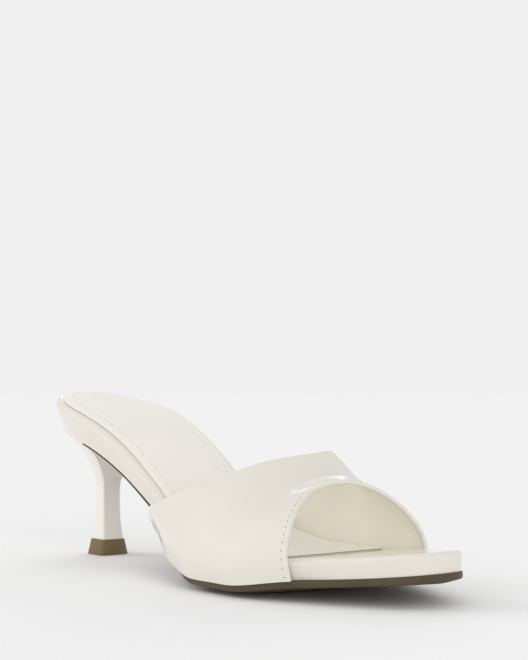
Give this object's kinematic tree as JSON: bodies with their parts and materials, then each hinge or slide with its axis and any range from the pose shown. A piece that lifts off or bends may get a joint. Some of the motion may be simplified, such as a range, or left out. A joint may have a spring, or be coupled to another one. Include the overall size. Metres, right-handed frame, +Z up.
{
  "type": "kitten heel mule",
  "caption": "Women's right open-toed mule with one wide vamp band, a wrapped footbed with a shaped arch, a thin moulded outsole and a square waisted kitten heel.",
  "frame": {"origin": "bottom centre of the shoe's bounding box, on the floor it stands on", "axes": "+X towards the toe, +Y towards the inner (medial) side, +Z up"},
  "size_m": [0.24, 0.0844, 0.0748],
  "materials": {
    "outsole": "brown moulded rubber, satin",
    "platform": "off-white patent leather wrap, glossy",
    "sock": "off-white smooth lining leather, matte",
    "upper": "off-white patent leather, glossy",
    "heel": "off-white patent leather cover, glossy",
    "top_piece": "brown hard rubber, satin"
  },
  "bodies": {
    "root": {"outsole": "outsole", "platform": "platform", "sock": "sock", "upper": "upper", "heel": "heel", "top_piece": "top_piece"}
  },
  "joints": []
}
